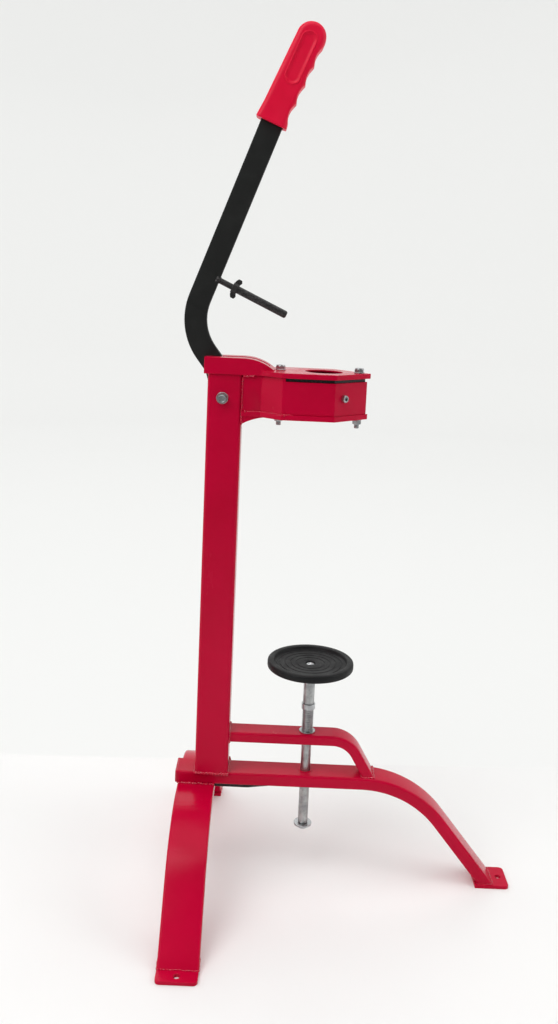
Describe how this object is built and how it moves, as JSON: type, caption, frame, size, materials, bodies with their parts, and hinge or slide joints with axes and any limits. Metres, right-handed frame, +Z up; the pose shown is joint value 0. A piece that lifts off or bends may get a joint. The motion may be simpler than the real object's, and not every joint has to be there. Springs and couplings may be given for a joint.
{
  "type": "floor corker",
  "caption": "Free-standing lever corker on splayed feet: sprung bottle platform, square column, jaw housing and a long hand lever that squeezes a cork and drives it home.",
  "frame": {"origin": "on the floor, under the middle of the whole object", "axes": "+Z up, +X from the column towards the front foot, +Y away from the side that carries the jaw screw"},
  "size_m": [0.4209, 0.4162, 1.0129],
  "materials": {
    "red": "gloss crimson paint",
    "black_steel": "black satin paint",
    "zinc": "bright zinc plate",
    "spring_steel": "plain spring wire",
    "brass": "machined brass",
    "rubber": "matt black rubber",
    "grip": "moulded raspberry plastic",
    "dark_plate": "dark plate"
  },
  "bodies": {
    "stand": {"beam_end_plate": "red", "beam_stiffener": "black_steel", "bridge_bar": "red", "column": "red", "cork_guide_plate": "dark_plate", "front_foot": "red", "front_leg": "red", "head_bolts": "zinc", "head_bottom_plate": "red", "head_box": "red", "head_nuts": "zinc", "head_top_cover": "red", "head_washers": "zinc", "jaw_fixed": "brass", "jaw_screw": "zinc", "left_foot": "red", "lower_bush": "red", "pivot_bolt": "zinc", "pivot_nut": "zinc", "pivot_spacers": "zinc", "pivot_washers": "zinc", "platform_spring": "spring_steel", "rear_legs": "red", "return_spring": "spring_steel", "right_foot": "red", "upper_bush": "zinc"},
    "platform_body": {"platform": "rubber", "platform_screw": "zinc", "platform_rod": "zinc", "rod_sleeve": "zinc", "spring_collar": "zinc", "end_washer": "zinc", "end_screw": "zinc"},
    "lever": {"lever_bar": "black_steel", "lever_cam": "black_steel", "grip": "grip", "plunger_stud": "black_steel"},
    "plunger": {"plunger_rod": "black_steel"},
    "lock_nut": {"wing_nut": "black_steel"},
    "pusher_body": {"pusher": "brass"},
    "front_jaw": {"jaw_front": "brass"},
    "rear_jaw": {"jaw_rear": "brass"}
  },
  "joints": [
    {"name": "platform_slide", "type": "slide", "parent": "stand", "child": "platform_body", "axis": [0, 0, 1], "range_m": [-0.018, 0.05], "stiffness_N_per_m": 1500, "springref_m": 0.00157, "deforming": ["platform_spring"]},
    {"name": "lever_pivot", "type": "hinge", "parent": "stand", "child": "lever", "pos_m": [-0.1631, 0, 0.592], "axis": [0, 1, 0], "range_deg": [0, 65]},
    {"name": "plunger_screw", "type": "slide", "parent": "lever", "child": "plunger", "axis": [0.9063, 0, -0.4226], "range_m": [0, 0.008]},
    {"name": "wing_nut_turn", "type": "hinge", "parent": "lever", "child": "lock_nut", "pos_m": [-0.15444, 0, 0.71706], "axis": [0.9063, 0, -0.4226], "continuous": true},
    {"name": "pusher_slide", "type": "slide", "parent": "stand", "child": "pusher_body", "axis": [1, 0, 0], "range_m": [0, 0.02124], "deforming": ["return_spring"]},
    {"name": "front_jaw_slide", "type": "slide", "parent": "stand", "child": "front_jaw", "axis": [0.7071, -0.7071, 0], "range_m": [0, 0.01503]},
    {"name": "rear_jaw_slide", "type": "slide", "parent": "stand", "child": "rear_jaw", "axis": [0.7071, 0.7071, 0], "range_m": [0, 0.01503]}
  ],
  "couplings": [
    {"joint": "pusher_slide", "follows": "lever_pivot", "m_per_rad": 0.018699},
    {"joint": "front_jaw_slide", "follows": "lever_pivot", "m_per_rad": 0.013222},
    {"joint": "rear_jaw_slide", "follows": "lever_pivot", "m_per_rad": 0.013222}
  ]
}
